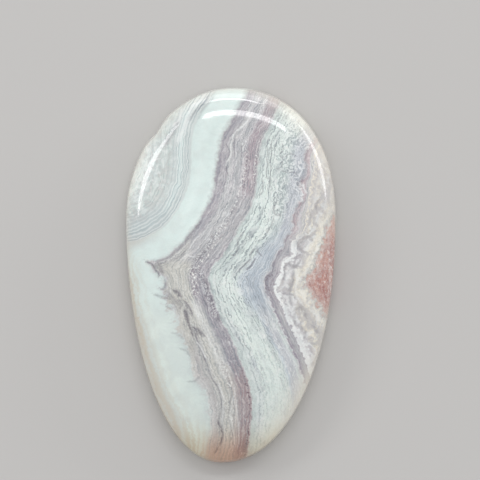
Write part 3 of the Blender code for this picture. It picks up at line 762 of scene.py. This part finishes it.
def pattern(tree, name, *parts):
    # a noise on a place, or on three parts of one: each a value alone or a value and its stretch
    place = parts[0]
    if len(parts) == 3:
        place = combine(tree, *(product(tree, *part) if isinstance(part, tuple) else part for part in parts))
    step = tree.nodes.new("ShaderNodeTexNoise")
    feed(tree, step.inputs["Vector"], place)
    for socket, value in zip(("Scale", "Detail", "Roughness", "Distortion"), patterns[name]):
        feed(tree, step.inputs[socket], value)
    return step.outputs["Fac"]


def centred(tree, value):
    return minus(tree, value, 0.5)


def wave(tree, count, turns=1.0):
    return maths(tree, "SINE", product(tree, count, turns * 2 * math.pi))


def addTo(tree, base, value, times):
    return maths(tree, "MULTIPLY_ADD", value, times, base)


def away(tree, value, middle):
    return maths(tree, "ABSOLUTE", minus(tree, value, middle))


def fade(tree, value, low, high, toLow=0.0, toHigh=1.0):
    return remap(tree, value, low, high, toLow, toHigh, smooth=True)


def blend(tree, share, under, over, mode="MIX"):
    step = tree.nodes.new("ShaderNodeMix")
    step.data_type = "RGBA"
    step.blend_type = mode
    for number, value in ((0, share), (6, under), (7, over)):
        feed(tree, step.inputs[number], value)
    return step.outputs[2]


def lay(tree, colour, *coats):
    # coats of paint over a colour, each with what its share is made of and its colour's name
    for *factors, name in coats:
        colour = blend(tree, product(tree, *factors), colour, paint(name))
    return colour


def ramp(tree, share, stops):
    step = tree.nodes.new("ShaderNodeValToRGB")
    feed(tree, step.inputs[0], share)
    marks = step.color_ramp.elements
    while len(marks) < len(stops):
        marks.new(0.5)
    for mark, (position, _) in zip(marks, stops):
        mark.position = position
    for mark, (_, colour) in zip(marks, stops):
        mark.color = colour
    return step.outputs[0]


def bandRamp(tree, band, stops):
    # a ramp holds 32 stops at most, so the bands take two, which meet at the lace line
    left = [stop for stop in stops if stop[0] <= laceLine]
    right = [stop for stop in stops if stop[0] > laceLine]
    meeting = left[-1][1]
    if left[-1][0] < laceLine:
        left.append((laceLine, meeting))
    right.insert(0, (laceLine, meeting))
    leftStops = [(position / laceLine, paint(name)) for position, name in left]
    rightStops = [((position - laceLine) / (lastBand - laceLine), paint(name)) for position, name in right]
    leftColour = ramp(tree, maths(tree, "DIVIDE", band, laceLine), leftStops)
    rightColour = ramp(tree, remap(tree, band, laceLine, lastBand), rightStops)
    return blend(tree, maths(tree, "GREATER_THAN", band, laceLine), leftColour, rightColour)


def amount(tree, band, name):
    # a plain number that changes across the bands
    stops = bandAmounts[name]
    highest = max(value for _, value in stops)
    greys = [(position / lastBand, (value / highest,) * 3 + (1.0,)) for position, value in stops]
    return product(tree, ramp(tree, maths(tree, "DIVIDE", band, lastBand), greys), highest)


def placeFields(tree):
    # where a point of the stone lies, in mm and in bands
    coordinates = tree.nodes.new("ShaderNodeTexCoord").outputs["Object"]
    at = SimpleNamespace(place=vectorMaths(tree, "SCALE", coordinates, 1 / mm))
    at.x, at.y, at.z = separate(tree, at.place)
    at.band, at.along = attribute(tree, "bandPosition"), attribute(tree, "alongBands")
    at.across, at.lines = attribute(tree, "acrossBands"), attribute(tree, "fineLines")
    at.below = fade(tree, at.y, 0.5, -4.0)
    return at


def bandColours(tree, at):
    # ragged edges between the bands, and tufts that reach back into the pale one just below the fold
    ragged = centred(tree, pattern(tree, "ragged", at.place))
    ragged = addTo(tree, at.band, ragged, amount(tree, at.band, "ragged"))
    tufts = remap(tree, pattern(tree, "tufts", (at.x, 0.6), (at.y, 1.5), at.z), 0.5, 0.75)
    tuftReach = remap(tree, at.y, -9.5, -6.5, 0.06, 0.26)
    tufts = product(tree, tufts, tuftReach, at.below, amount(tree, at.band, "tufts"))
    at.ragged = maths(tree, "ADD", ragged, tufts)
    above, below, fold = (bandRamp(tree, at.ragged, stops) for stops in (aboveFold, belowFold, atFold))
    colour = blend(tree, at.below, above, below)
    return blend(tree, fade(tree, away(tree, at.y, foldY), 6.2, 2.6), colour, fold)


def paintPatches(tree, at, colour):
    # places where one band changes along its length: plum low down, ash above the fold, the tan beak
    plumEdge = product(tree, amount(tree, at.ragged, "plumEdge"), fade(tree, at.y, -10.0, -13.5))
    greyStretch = product(tree, amount(tree, at.ragged, "greyStretch"), fade(tree, at.y, 10.8, 8.6),
                          fade(tree, at.y, 1.0, 4.0))
    fromBeak = combine(tree, remap(tree, at.x, -5.7, -4.1), remap(tree, at.y, -0.6, 2.0), 0.0)
    fromBeak = vectorMaths(tree, "LENGTH", fromBeak)
    at.beak = product(tree, fade(tree, fromBeak, 1.3, 0.6), amount(tree, at.ragged, "beak"))
    at.bend = product(tree, amount(tree, at.ragged, "bend"), fade(tree, away(tree, at.y, -1.0), 2.6, 1.2))
    return lay(tree, colour,
               (plumEdge, stoneFinish["plumEdge"], "plumBrown"),
               (greyStretch, stoneFinish["greyStretch"], "ash"),
               (at.beak, stoneFinish["beak"], "beakTan"),
               (at.bend, stoneFinish["bend"], "veinDark"))


def paintPaleBand(tree, at, colour):
    # its haze, and the fine fibres square to its edge
    haze = remap(tree, pattern(tree, "haze", at.place), 0.42, 0.62)
    haze = product(tree, haze, amount(tree, at.band, "haze"))
    fibre = pattern(tree, "fibre", (at.along, 2.4), (at.band, 4.5), 6.0)
    fibreAmount = product(tree, amount(tree, at.band, "fibre"), remap(tree, at.y, 0.0, 3.0, 0.35, 1.0))
    return lay(tree, colour,
               (haze, remap(tree, at.y, -2.0, -8.0, 0.45, 0.8), "skyGrey"),
               (remap(tree, fibre, 0.5, 0.75), fibreAmount, stoneFinish["fibreDark"], "cloudGrey"),
               (remap(tree, fibre, 0.48, 0.34), fibreAmount, stoneFinish["fibrePale"], "white"))


def paintFineLines(tree, at, colour):
    # crinkled fine lines that run along the bands
    at.crinkle = centred(tree, pattern(tree, "crinkle", at.place))
    at.smallCrinkle = centred(tree, pattern(tree, "smallCrinkle", at.place))
    at.crinkleAmount = product(tree, amount(tree, at.band, "crinkle"), remap(tree, at.y, 9.0, 3.0, 1.0, 0.5))
    at.count = addTo(tree, at.lines, at.crinkle, at.crinkleAmount)
    at.count = addTo(tree, at.count, at.smallCrinkle, 0.9)
    drift = pattern(tree, "drift", (at.count, 0.9), (at.y, 0.12), 0.0)
    ripple = product(tree, wave(tree, addTo(tree, at.count, drift, 1.5)), 0.6)
    at.fineLine = addTo(tree, ripple, centred(tree, drift), 2.6)
    breaks = pattern(tree, "breaks", at.count, (at.y, 0.9), 4.0)
    darkLines = product(tree, remap(tree, at.fineLine, 0.25, 0.6), remap(tree, breaks, 0.36, 0.56, 0.15, 1.0))
    paleLines = product(tree, remap(tree, at.fineLine, -0.25, -0.6), remap(tree, breaks, 0.66, 0.46, 0.2, 1.0))
    # low down they show more in the violet and less in the lace
    lowViolet, lowLace = remap(tree, at.y, -6.0, -9.0, 1.0, 1.5), remap(tree, at.y, -7.0, -13.0, 1.0, 0.45)
    lowCalm = blend(tree, maths(tree, "GREATER_THAN", at.band, laceLine), lowViolet, lowLace)
    return lay(tree, colour,
               (paleLines, amount(tree, at.band, "linePale"), stoneFinish["linePale"], "white"),
               (darkLines, amount(tree, at.band, "lineDark"), lowCalm, stoneFinish["lineDark"], "line"))


def paintTone(tree, at, colour):
    # tone that comes and goes along the bands
    tone = pattern(tree, "tone", (at.count, 0.45), (at.y, 0.35), 2.0)
    toneAmount = product(tree, amount(tree, at.band, "tone"), remap(tree, at.y, -6.0, -12.0, 1.0, 0.4))
    return lay(tree, colour,
               (remap(tree, tone, 0.5, 0.68), toneAmount, stoneFinish["toneDark"], "tone"),
               (remap(tree, tone, 0.5, 0.32), toneAmount, stoneFinish["tonePale"], "white"),
               (at.beak, stoneFinish["beakOver"], "beakTan"))


def paintLowLace(tree, at, colour):
    # wide streaks and pale flecks low in the lace
    lowLace = product(tree, amount(tree, at.band, "lowLace"), fade(tree, at.y, -3.5, -7.0))
    streaks = pattern(tree, "streaks", (at.across, 1.5), (at.along, 0.2), 11.0)
    flecks = pattern(tree, "lowFlecks", at.x, (at.y, 0.6), at.z)
    return lay(tree, colour,
               (remap(tree, streaks, 0.52, 0.66), lowLace, stoneFinish["lowStreak"], "lilac"),
               (remap(tree, streaks, 0.46, 0.34), lowLace, stoneFinish["lowStreak"], "rimPale"),
               (remap(tree, flecks, 0.57, 0.66), lowLace, stoneFinish["lowFleck"], "white"))


def paintDashes(tree, at, colour):
    # short dashes and flecks between the lines, and a calmer, paler ridge down the lower lace
    count = addTo(tree, product(tree, at.smallCrinkle, 1.3), at.lines, 1.5)
    count = addTo(tree, count, at.crinkle, product(tree, at.crinkleAmount, 1.2))
    dashes = wave(tree, count)
    breaks = pattern(tree, "dashBreaks", (at.across, 2.4), (at.along, 0.7), 7.0)
    dashAmount = amount(tree, at.band, "dash")
    ridge = product(tree, amount(tree, at.band, "ridge"), fade(tree, at.y, -3.0, -6.0))
    return lay(tree, colour,
               (remap(tree, dashes, -0.2, -0.8), remap(tree, breaks, 0.5, 0.4), dashAmount,
                stoneFinish["fleck"], "white"),
               (remap(tree, dashes, 0.3, 0.85), remap(tree, breaks, 0.47, 0.54), dashAmount,
                remap(tree, at.y, -6.0, -13.0, 1.0, 0.5), stoneFinish["dash"], "dash"),
               (ridge, stoneFinish["ridge"], "mintPale"))


def paintUpperCurls(tree, at, colour):
    # curls in the upper lace and lilac
    curls = wave(tree, addTo(tree, at.across, pattern(tree, "curl", at.place), 4.4))
    patch = remap(tree, pattern(tree, "curlPatch", at.place), 0.4, 0.55, 0.3, 1.0)
    curlAmount = product(tree, amount(tree, at.band, "curl"), patch, remap(tree, at.y, 4.0, 9.0, 0.15, 1.0),
                         stoneFinish["curl"])
    return lay(tree, colour,
               (remap(tree, curls, 0.55, 0.95), curlAmount, "line"),
               (remap(tree, curls, -0.2, -0.8), curlAmount, "white"))


def paintOnion(tree, at, colour):
    # onion rings beside the pale band, and streaks along the lower left edge
    count = addTo(tree, at.lines, at.crinkle, 0.7)
    drift = pattern(tree, "onionDrift", (count, 0.5), (at.y, 0.05), 9.0)
    rings = wave(tree, addTo(tree, count, drift, 2.0))
    fineRings = wave(tree, addTo(tree, product(tree, count, 1.7), drift, 1.5))
    onion = amount(tree, at.band, "onion")
    patch = remap(tree, pattern(tree, "onionPatch", at.place), 0.35, 0.6, 0.4, 1.0)
    lowEnd, highEnd = remap(tree, at.y, 14.0, 8.0, 0.3, 1.0), remap(tree, at.y, 18.5, 20.5, 0.0, 0.9)
    ends = maths(tree, "MAXIMUM", lowEnd, highEnd)
    foot = product(tree, amount(tree, at.band, "onionFoot"), fade(tree, at.y, 10.0, 7.0),
                   remap(tree, at.x, -6.0, -8.0))
    streaks = product(tree, remap(tree, at.fineLine, -0.1, 0.4), at.below, amount(tree, at.band, "edgeStreak"))
    return lay(tree, colour,
               (remap(tree, rings, 0.35, 0.9), remap(tree, drift, 0.3, 0.5), onion, patch, ends,
                stoneFinish["onionLine"], "onionLine"),
               (remap(tree, fineRings, 0.1, 0.9), onion, remap(tree, at.y, 8.0, 12.0),
                remap(tree, at.y, 19.0, 16.0), stoneFinish["onionFine"], "onionLine"),
               (foot, stoneFinish["onionFoot"], "onionFoot"),
               (remap(tree, rings, -0.2, -0.9), onion, stoneFinish["onionPale"], "white"),
               (streaks, stoneFinish["edgeStreak"], "skyGrey"))


def paintClouds(tree, at, colour):
    # scalloped clouds and mottling in the cream corner and at the upper left
    cloud = wave(tree, addTo(tree, product(tree, at.across, 0.5), pattern(tree, "cloud", at.place), 3.0))
    cloudAmount, mottleAmount = amount(tree, at.band, "cloud"), amount(tree, at.band, "mottle")
    creamShade = product(tree, amount(tree, at.band, "creamShade"), fade(tree, at.y, 6.0, 9.0))
    mottle = pattern(tree, "mottle", at.place)
    return lay(tree, colour,
               (remap(tree, cloud, 0.2, 0.9), cloudAmount, stoneFinish["cloudDark"], "creamGrey"),
               (remap(tree, cloud, -0.3, -1.0), cloudAmount, stoneFinish["cloudPale"], "white"),
               (creamShade, stoneFinish["creamShade"], "creamGrey"),
               (remap(tree, mottle, 0.52, 0.62), mottleAmount, stoneFinish["mottleDark"], "cloudGrey"),
               (remap(tree, mottle, 0.47, 0.38), mottleAmount, stoneFinish["mottlePale"], "white"))


def paintThreads(tree, at, colour):
    # drawn threads, frayed, and small curls in the violet
    fray = centred(tree, pattern(tree, "fray", at.place))
    worn = remap(tree, fray, -0.2, 0.05, 0.6, 1.0)
    for kind, strength, name in (("dark", "threadDark", "ink"), ("pale", "threadPale", "white")):
        core = bell(tree, addTo(tree, attribute(tree, kind + "Side"), fray, 2.2), 0.9)
        reach = attribute(tree, kind + "Reach")
        colour = lay(tree, colour, (core, reach, worn, stoneFinish[strength], name))
    worms = wave(tree, pattern(tree, "worm", at.place), 4.5)
    reach = remap(tree, attribute(tree, "curlReach"), 0.1, 0.8)
    return lay(tree, colour,
               (remap(tree, worms, 0.0, 0.8), reach, stoneFinish["wormDark"], "ink"),
               (remap(tree, worms, -0.5, -0.95), reach, stoneFinish["wormPale"], "white"))


def paintRusset(tree, at, colour):
    at.russet = remap(tree, at.ragged, 7.0, 7.45)
    patch = pattern(tree, "redPatch", (at.x, 1.7), (at.y, 0.8), 5.0)
    specks = pattern(tree, "redSpecks", at.place)
    return lay(tree, colour,
               (remap(tree, patch, 0.45, 0.62), at.russet, stoneFinish["russetDark"], "russetDark"),
               (remap(tree, patch, 0.42, 0.34), at.russet, stoneFinish["russetPale"], "roseBeige"),
               (remap(tree, specks, 0.44, 0.34), at.russet, stoneFinish["russetSpeck"], "russetDark"),
               (remap(tree, specks, 0.57, 0.66), at.russet, stoneFinish["russetSparkle"], "sparkle"))


def paintCrystals(tree, at, colour):
    # crystal specks along their own threads, down the dotted edge and in the russet
    specks = pattern(tree, "specks", at.place)
    crystal = remap(tree, attribute(tree, "crystalReach"), 0.2, 0.7)
    dotted = product(tree, remap(tree, away(tree, at.band, 2.95), 0.08, 0.03), remap(tree, at.y, -9.0, -13.0))
    dark = maths(tree, "MAXIMUM", dotted, product(tree, at.russet, 0.1))
    dark = maths(tree, "MAXIMUM", product(tree, crystal, 0.55), dark)
    pale = maths(tree, "MAXIMUM", crystal, product(tree, at.russet, 0.12))
    return lay(tree, colour,
               (remap(tree, specks, 0.45, 0.36), dark, stoneFinish["crystalDark"], "plumInk"),
               (remap(tree, specks, 0.46, 0.36), at.bend, stoneFinish["veinSpeck"], "plumInk"),
               # the pale specks are partly the crystals' own white and partly painted glints off them
               (remap(tree, specks, 0.56, 0.64), pale, stoneFinish["crystalPale"], "sparkle"))


def paintGrain(tree, at, colour):
    grain = product(tree, centred(tree, pattern(tree, "grain", at.place)), amount(tree, at.band, "grain"))
    shade = addTo(tree, 1.0, grain, stoneFinish["grain"])
    return blend(tree, 1.0, colour, combine(tree, shade, shade, shade), "MULTIPLY")


def paintRim(tree, at, colour):
    # painted light and shade: a paler, warmer rim for light through the thin edge, a warm show-through at the
    # lower left, painted light at the right edges, painted shade on the head; and a warm tail
    # painted light: the rim is painted paler and warmer where light would come through the thin edge
    paintedRimLight = product(tree, fade(tree, at.z, 3.4, 1.4, 0.0, stoneFinish["paintedRimLight"]),
                  remap(tree, at.russet, 0.0, 1.0, 1.0, 0.1))
    # painted light: a warm sand tint at the lower left edge, for a warm colour behind the stone showing
    # through, broken by the fine lines
    lowerLeftPaintedLight = product(tree, remap(tree, at.x, 2.0, -4.0), remap(tree, at.y, 4.0, -2.0),
                        remap(tree, at.fineLine, -0.4, 0.5, 1.0, 0.35))
    # painted highlight: the upper right edge is painted paler cream for a reflection there
    upperRightPaintedHighlight = product(tree, fade(tree, at.z, 4.2, 2.4), remap(tree, at.x, 3.0, 7.0),
                         remap(tree, at.y, 12.0, 17.0))
    # painted light: the lower right edge is painted paler cream to lift the shade there
    lowerRightPaintedLight = product(tree, fade(tree, at.z, 4.6, 2.2), remap(tree, at.y, -9.0, -13.0),
                         remap(tree, at.x, 2.0, 5.0))
    colour = lay(tree, colour,
                 (paintedRimLight, "cream"),
                 (fade(tree, at.z, 4.7, 2.4, 0.0, 0.9), lowerLeftPaintedLight, stoneFinish["lowerLeftPaintedLight"], "sand"),
                 (upperRightPaintedHighlight, stoneFinish["upperRightPaintedHighlight"], "cream"),
                 (lowerRightPaintedLight, stoneFinish["lowerRightPaintedLight"], "cream"))
    # painted shade: the head is painted darker, less at the left and not at the right
    paintedHeadShade = product(tree, fade(tree, at.y, 7.0, 19.0, 0.0, stoneFinish["headShade"]),
                   remap(tree, at.x, 8.5, 5.5), remap(tree, at.x, -8.5, -4.5, 0.35, 1.0))
    colour = blend(tree, paintedHeadShade, colour, (0.0, 0.0, 0.0, 1.0))
    colour = blend(tree, fade(tree, at.y, -17.0, -22.0), colour, stoneFinish["tailTint"], "MULTIPLY")
    middle = fade(tree, away(tree, at.x, -0.6), 4.0, 1.0)
    tail = product(tree, middle, fade(tree, at.y, -18.0, -22.0))
    return blend(tree, tail, colour, stoneFinish["tailRose"], "MULTIPLY")


def chalcedonyMaterial():
    material = bpy.data.materials.new("banded chalcedony")
    material.use_nodes = True
    tree = material.node_tree
    at = placeFields(tree)
    colour = bandColours(tree, at)
    for coat in (paintPatches, paintPaleBand, paintFineLines, paintTone, paintLowLace, paintDashes,
                 paintUpperCurls, paintOnion, paintClouds, paintThreads, paintRusset, paintCrystals,
                 paintGrain, paintRim):
        colour = coat(tree, at, colour)
    inputs = tree.nodes["Principled BSDF"].inputs
    feed(tree, inputs["Base Color"], colour)
    rough, spread = stoneFinish["roughness"], stoneFinish["roughnessSpread"]
    polish = pattern(tree, "polish", at.place)
    feed(tree, inputs["Roughness"], remap(tree, polish, 0.3, 0.7, rough * (1 - spread), rough * (1 + spread)))
    inputs["IOR"].default_value = stoneFinish["ior"]
    inputs["Subsurface Weight"].default_value = stoneFinish["translucence"]
    inputs["Subsurface Scale"].default_value = stoneFinish["translucentDepth"]
    inputs["Subsurface Radius"].default_value = stoneFinish["translucentColour"]
    return material


# floor, lamps and camera

studio = {
    "floorColour": (0.52, 0.51, 0.50, 1.0),
    "floorRoughness": 0.8,
    "floorHalf": 1.5,
    "floorDrop": 0.03 * mm,  # a hair under the stone's back
    "skyColour": (1.0, 1.0, 1.0, 1.0),
    "skyStrength": 0.70,
    # each strip's two ends and width in m, its power in W, and its shape
    "strips": {
        "innerStrip": ((-0.25, 0.6, 0.6), (0.43, 0.54, 0.6), 0.075, 1.3, "RECTANGLE"),
        "outerStrip": ((-0.45, 1.2, 0.5), (0.34, 0.98, 0.5), 0.07, 1.4, "ELLIPSE"),
        "leftStrip": ((-0.56, 0.7, 0.5), (-1.4, 0.1, 0.5), 0.2, 3.2, "ELLIPSE"),
        "rightStrip": ((1.2, 1.2, 0.36), (1.95, 0.2, 0.36), 0.34, 5.5, "ELLIPSE"),
        "farWindow": ((-0.8, 1.5, 0.32), (1.2, 1.3, 0.32), 0.45, 6.0, "RECTANGLE"),
    },
    "lens": 300.0,
    "sensorWidth": 36.0,
    "clipStart": 0.01,
    "frameWidth": 58.8 * mm,
    "aim": (1.13 * mm, 4.31 * mm, 1.2 * mm),
}


def makeStrip(name, start, end, width, power, shape):
    # a long lamp from one point to the other, turned to face the stone
    start, end = Vector(start), Vector(end)
    middle = (start + end) / 2
    lamp = bpy.data.lights.new(name, "AREA")
    lamp.shape = shape
    lamp.size, lamp.size_y = (end - start).length, width
    lamp.energy = power
    sideways = (end - start).normalized()
    backwards = (middle - sideways * middle.dot(sideways)).normalized()
    upwards = backwards.cross(sideways)
    strip = putInScene(name, lamp)
    strip.matrix_world = Matrix((sideways, upwards, backwards)).transposed().to_4x4()
    strip.location = middle


def makeFloor():
    mesh = bpy.data.meshes.new("floor")
    half, drop = studio["floorHalf"], -studio["floorDrop"]
    corners = [(-half, -half, drop), (half, -half, drop), (half, half, drop), (-half, half, drop)]
    mesh.from_pydata(corners, [], [(0, 1, 2, 3)])
    paper = bpy.data.materials.new("pale floor")
    paper.use_nodes = True
    inputs = paper.node_tree.nodes["Principled BSDF"].inputs
    inputs["Base Color"].default_value = studio["floorColour"]
    inputs["Roughness"].default_value = studio["floorRoughness"]
    mesh.materials.append(paper)
    floor = putInScene("floor", mesh)


def makeStudio():
    makeFloor()
    for name, (start, end, width, power, shape) in studio["strips"].items():
        makeStrip(name, start, end, width, power, shape)
    world = bpy.data.worlds.new("studio")
    bpy.context.scene.world = world
    world.use_nodes = True
    backdrop = world.node_tree.nodes["Background"]
    backdrop.inputs["Color"].default_value = studio["skyColour"]
    backdrop.inputs["Strength"].default_value = studio["skyStrength"]


def makeCamera():
    view = bpy.data.cameras.new("camera")
    view.lens = studio["lens"]
    view.sensor_width = studio["sensorWidth"]
    view.clip_start = studio["clipStart"]
    camera = putInScene("camera", view)
    x, y, z = studio["aim"]
    away = studio["frameWidth"] * studio["lens"] / view.sensor_width
    camera.location = (x, y, z + away)
    camera.rotation_euler = (0, 0, 0)  # straight down, with the broad end up
    bpy.context.scene.camera = camera


bpy.context.scene.view_settings.view_transform = "Standard"
makeCamera()
makeStudio()
print("studio and camera are ready")

stone = makeStone(chalcedonyMaterial())
markBands(stone.data)
print("stone has", len(stone.data.vertices), "points")
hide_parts("cabochon")
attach(stone, "root")
